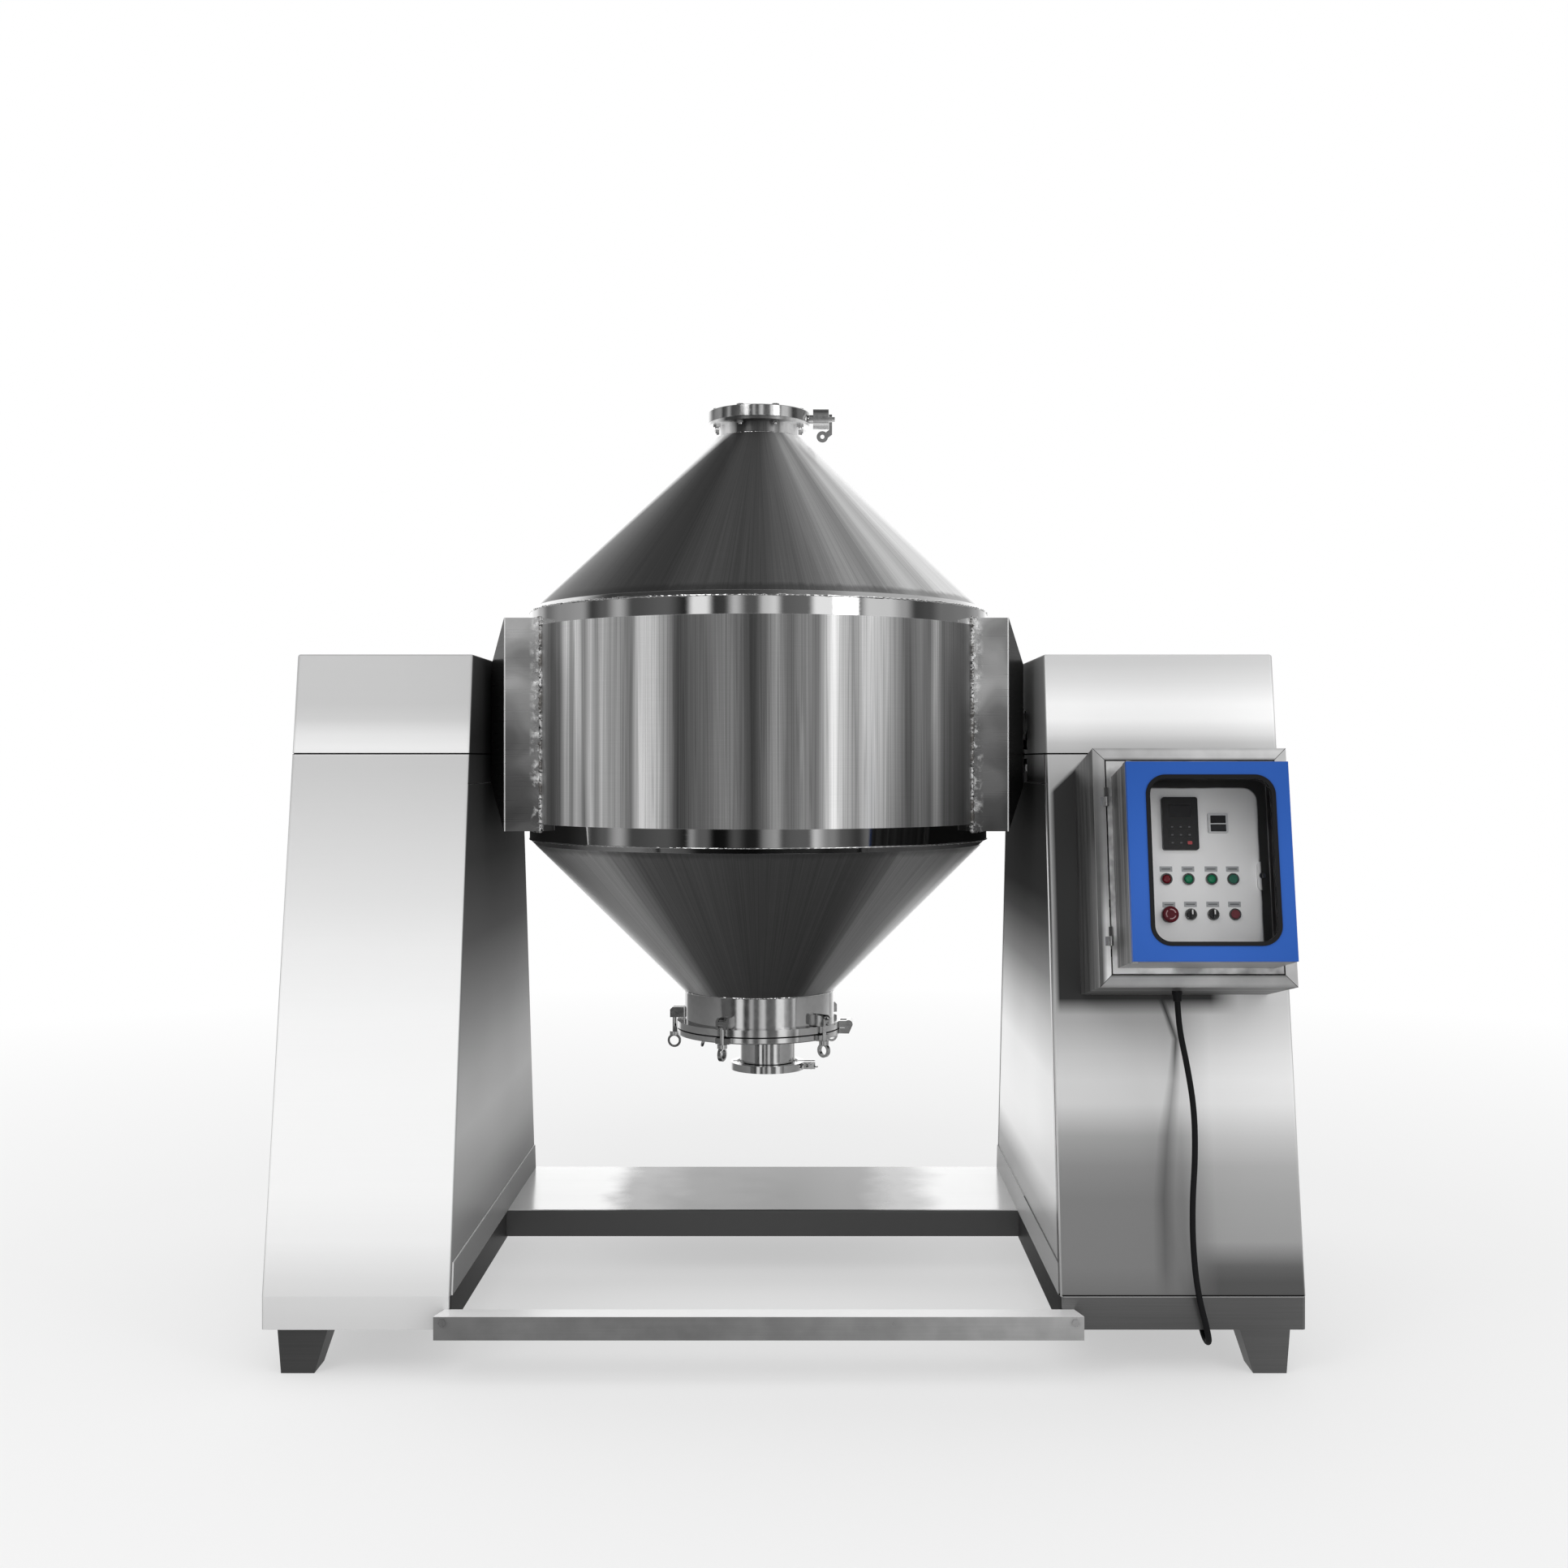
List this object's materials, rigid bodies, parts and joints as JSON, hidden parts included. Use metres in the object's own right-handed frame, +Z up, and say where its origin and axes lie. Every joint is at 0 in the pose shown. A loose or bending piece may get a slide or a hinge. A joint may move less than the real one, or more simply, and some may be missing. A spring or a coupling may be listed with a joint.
{
  "type": "double cone mixer",
  "caption": "Tumbling powder mixer: a double cone drum on two trunnions between sheet-metal pedestals, with a discharge valve, a bolted manhole and a sloping control cabinet.",
  "frame": {"origin": "on the floor, under the middle of the machine", "axes": "+X along the drum's shaft towards the drive side, +Y from the operator towards the rear, +Z up"},
  "size_m": [2.611, 1.7365, 2.5585],
  "materials": {
    "satin_steel": "satin",
    "brushed_steel": "brushed",
    "machined_steel": "polished",
    "frame_steel": "satin",
    "cast_housing": "painted",
    "cabinet_paint": "semi-gloss",
    "panel_paint": "semi-gloss",
    "blue_paint": "gloss",
    "zinc_plate": "satin",
    "black_plastic": "matte",
    "timer_plastic": "matte",
    "red_plastic": "gloss",
    "green_plastic": "gloss",
    "plate_plastic": "matte",
    "black_rubber": "matte",
    "pane": "clear"
  },
  "bodies": {
    "frame": {"left_housing": "satin_steel", "right_housing": "satin_steel", "left_cap": "satin_steel", "right_cap": "satin_steel", "left_frame": "frame_steel", "right_frame": "frame_steel", "left_bearing": "cast_housing", "right_bearing": "cast_housing", "feet": "frame_steel", "front_rail": "brushed_steel", "rear_tray": "brushed_steel", "frame_bolts": "machined_steel", "gearbox": "cast_housing", "motor": "cast_housing", "cabinet_box": "cabinet_paint", "cabinet_backplate": "zinc_plate", "inverter": "black_plastic", "switchgear": "black_plastic", "cabinet_hinges": "machined_steel", "cable_gland": "plate_plastic", "motor_cable": "black_rubber"},
    "drum": {"drum_cylinder": "brushed_steel", "upper_cone": "brushed_steel", "lower_cone": "brushed_steel", "left_trunnion": "brushed_steel", "right_trunnion": "brushed_steel", "left_shaft": "machined_steel", "right_shaft": "machined_steel", "valve_body": "machined_steel", "valve_bolts": "machined_steel", "manhole_neck": "brushed_steel", "manhole_gasket": "black_rubber", "manhole_door": "brushed_steel", "port_cap": "machined_steel", "port_clamp": "machined_steel"},
    "valve": {"valve_disc": "machined_steel", "valve_lever": "machined_steel"},
    "bolt_1": {"swing_bolt_1": "machined_steel"},
    "bolt_2": {"swing_bolt_2": "machined_steel"},
    "bolt_3": {"swing_bolt_3": "machined_steel"},
    "bolt_4": {"swing_bolt_4": "machined_steel"},
    "bolt_5": {"swing_bolt_5": "machined_steel"},
    "clamp_nut": {"wing_nut": "machined_steel"},
    "door": {"inner_door": "panel_paint", "hood": "panel_paint", "keypad": "black_plastic", "timer": "timer_plastic", "red_lamp": "red_plastic", "green_lamps": "green_plastic", "control_bezels": "machined_steel", "legend_plates": "plate_plastic"},
    "window": {"window_door": "blue_paint", "window_gasket": "black_rubber", "window_glass": "pane"},
    "start": {"start_button": "green_plastic"},
    "stop": {"stop_button": "red_plastic"},
    "emergency": {"emergency_stop": "red_plastic"},
    "left_knob": {"selector_left": "black_plastic"},
    "right_knob": {"selector_right": "black_plastic"},
    "latch": {"panel_latch": "machined_steel"}
  },
  "joints": [
    {"name": "drum_spin", "type": "hinge", "parent": "frame", "child": "drum", "pos_m": [-0.0785, 0.16326, 1.638], "axis": [1, 0, 0], "continuous": true},
    {"name": "valve_turn", "type": "hinge", "parent": "drum", "child": "valve", "pos_m": [-0.0785, 0.16326, 2.5285], "axis": [1, 0, 0], "range_deg": [0, 90]},
    {"name": "bolt_1_swing", "type": "hinge", "parent": "drum", "child": "bolt_1", "pos_m": [-0.17501, -0.06411, 0.809], "axis": [-0.9205, 0.3907, 0], "range_deg": [0, 75]},
    {"name": "bolt_2_swing", "type": "hinge", "parent": "drum", "child": "bolt_2", "pos_m": [-0.32456, 0.18478, 0.809], "axis": [0.0872, 0.9962, 0], "range_deg": [0, 75]},
    {"name": "bolt_3_swing", "type": "hinge", "parent": "drum", "child": "bolt_3", "pos_m": [-0.13406, 0.40392, 0.809], "axis": [0.9744, 0.225, 0], "range_deg": [0, 75]},
    {"name": "bolt_4_swing", "type": "hinge", "parent": "drum", "child": "bolt_4", "pos_m": [0.10791, 0.00121, 0.809], "axis": [-0.6561, -0.7547, 0], "range_deg": [0, 75]},
    {"name": "bolt_5_swing", "type": "hinge", "parent": "drum", "child": "bolt_5", "pos_m": [0.13322, 0.29047, 0.809], "axis": [0.515, -0.8572, 0], "range_deg": [0, 75]},
    {"name": "wing_nut_turn", "type": "hinge", "parent": "drum", "child": "clamp_nut", "pos_m": [0.0725, 0.13895, 0.659], "axis": [0, 1, 0], "continuous": true},
    {"name": "inner_door_swing", "type": "hinge", "parent": "frame", "child": "door", "pos_m": [0.797, -0.62987, 1.28114], "axis": [0, -0.191, -0.9816], "range_deg": [0, 90]},
    {"name": "window_door_swing", "type": "hinge", "parent": "door", "child": "window", "pos_m": [0.817, -0.81459, 1.30434], "axis": [0, -0.191, -0.9816], "range_deg": [0, 90]},
    {"name": "start_press", "type": "slide", "parent": "door", "child": "start", "axis": [0, 0.9816, -0.191], "range_m": [0, 0.004], "stiffness_N_per_m": 400},
    {"name": "stop_press", "type": "slide", "parent": "door", "child": "stop", "axis": [0, 0.9816, -0.191], "range_m": [0, 0.004], "stiffness_N_per_m": 400},
    {"name": "emergency_press", "type": "slide", "parent": "door", "child": "emergency", "axis": [0, 0.9816, -0.191], "range_m": [0, 0.005]},
    {"name": "selector_left_turn", "type": "hinge", "parent": "door", "child": "left_knob", "pos_m": [0.9935, -0.6476, 1.16386], "axis": [0, -0.9816, 0.191], "range_deg": [-45, 45]},
    {"name": "selector_right_turn", "type": "hinge", "parent": "door", "child": "right_knob", "pos_m": [1.048, -0.6476, 1.16386], "axis": [0, -0.9816, 0.191], "range_deg": [-45, 45]},
    {"name": "latch_turn", "type": "hinge", "parent": "door", "child": "latch", "pos_m": [1.17, -0.62964, 1.25613], "axis": [0, -0.9816, 0.191], "range_deg": [0, 90]}
  ]
}
